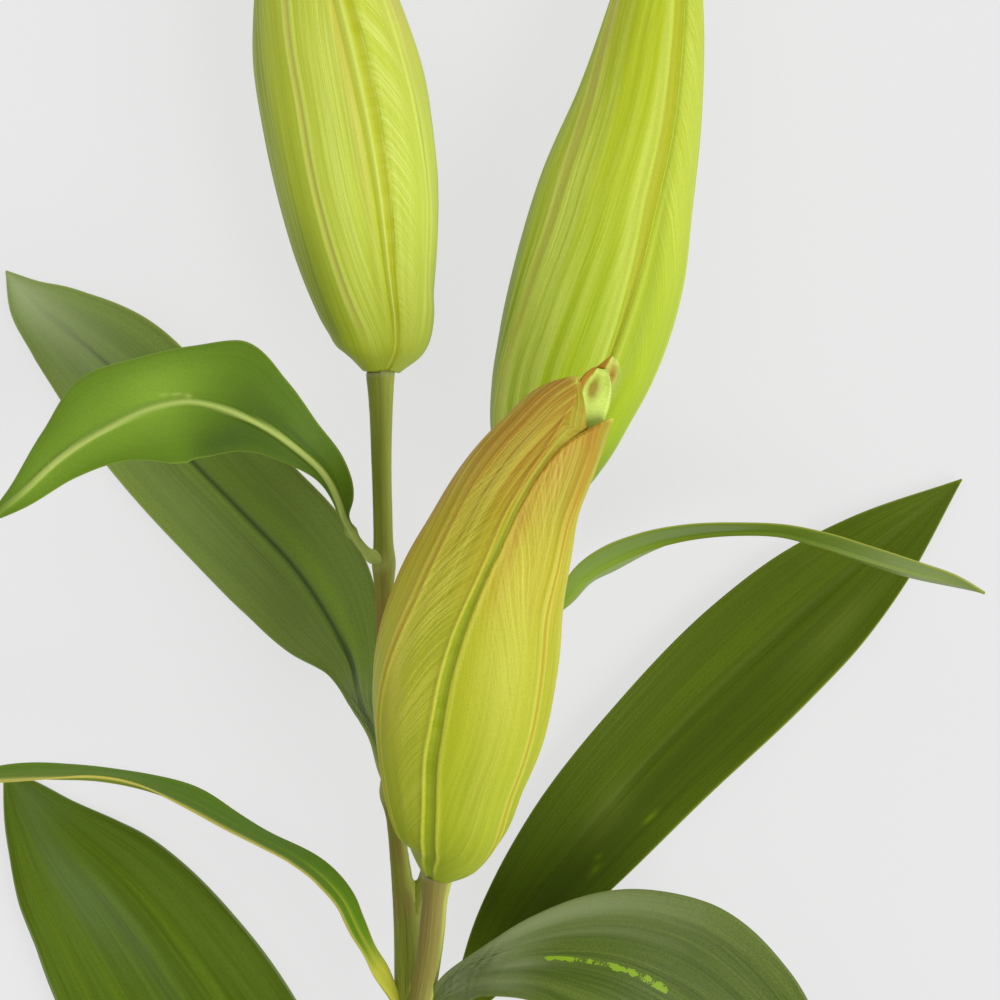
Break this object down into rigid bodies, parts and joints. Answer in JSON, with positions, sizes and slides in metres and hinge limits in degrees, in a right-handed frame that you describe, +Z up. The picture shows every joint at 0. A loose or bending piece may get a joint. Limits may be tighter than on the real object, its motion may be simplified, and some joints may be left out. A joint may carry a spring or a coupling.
{
  "type": "tiger lily",
  "caption": "Cut tiger lily stem in bud, lying down: closed buds of overlapping tepals on arching stalks, with lance-shaped leaves along a slender stem.",
  "frame": {"origin": "the middle of the underside of the whole lying stem, at the height of the surface it rests on", "axes": "+Y along the stem, from the cut end towards the bud tips; +Z up from the surface; +X to the right of the stem, seen from above with the buds ahead"},
  "size_m": [0.1991, 0.4562, 0.0579],
  "materials": {
    "stem": "olive green skin of a fresh stem, satin, paler on one side, with a brown-purple blush",
    "leaf": "dark green leaf with fine veins along it, satin with a greyish sheen",
    "leaf_underside": "lighter, duller green underside of a leaf with a cream midrib",
    "outer_tepal": "lime green closed tepal with fine ribs along it, satin",
    "ripe_tepal": "yellow-green closed tepal turning orange-brown towards its tip, satin",
    "inner_tepal": "olive yellow strip between the outer tepals, with a pale middle ridge",
    "pistil": "pale green pistil and stamens, matt"
  },
  "bodies": {
    "root": {"stem": "stem", "leaf_left_behind": "leaf", "leaf_left_arched": "leaf_underside", "leaf_right_edgewise": "leaf", "leaf_right_behind": "leaf", "leaf_right_front": "leaf", "leaf_left_edgewise": "leaf", "leaf_left_broad": "leaf", "leaf_lower_right_flat": "leaf", "leaf_lower_left_flat": "leaf", "leaf_lower_front": "leaf", "leaf_lower_left_arched": "leaf", "leaf_lower_right_arched": "leaf", "leaf_lowest_left": "leaf", "left_bud_outer_tepal_left": "outer_tepal", "left_bud_outer_tepal_right": "outer_tepal", "left_bud_outer_tepal_back": "outer_tepal", "left_bud_inner_tepal_front": "inner_tepal", "left_bud_inner_tepal_right": "inner_tepal", "left_bud_inner_tepal_left": "inner_tepal", "left_bud_stamens_and_pistil": "pistil", "right_bud_outer_tepal_left": "outer_tepal", "right_bud_outer_tepal_right": "outer_tepal", "right_bud_outer_tepal_back": "outer_tepal", "right_bud_inner_tepal_front": "inner_tepal", "right_bud_inner_tepal_right": "inner_tepal", "right_bud_inner_tepal_left": "inner_tepal", "right_bud_stamens_and_pistil": "pistil", "front_bud_outer_tepal_left": "ripe_tepal", "front_bud_outer_tepal_right": "ripe_tepal", "front_bud_outer_tepal_back": "ripe_tepal", "front_bud_inner_tepal_front": "inner_tepal", "front_bud_inner_tepal_right": "inner_tepal", "front_bud_inner_tepal_left": "inner_tepal", "front_bud_stamens_and_pistil": "pistil"}
  },
  "joints": []
}
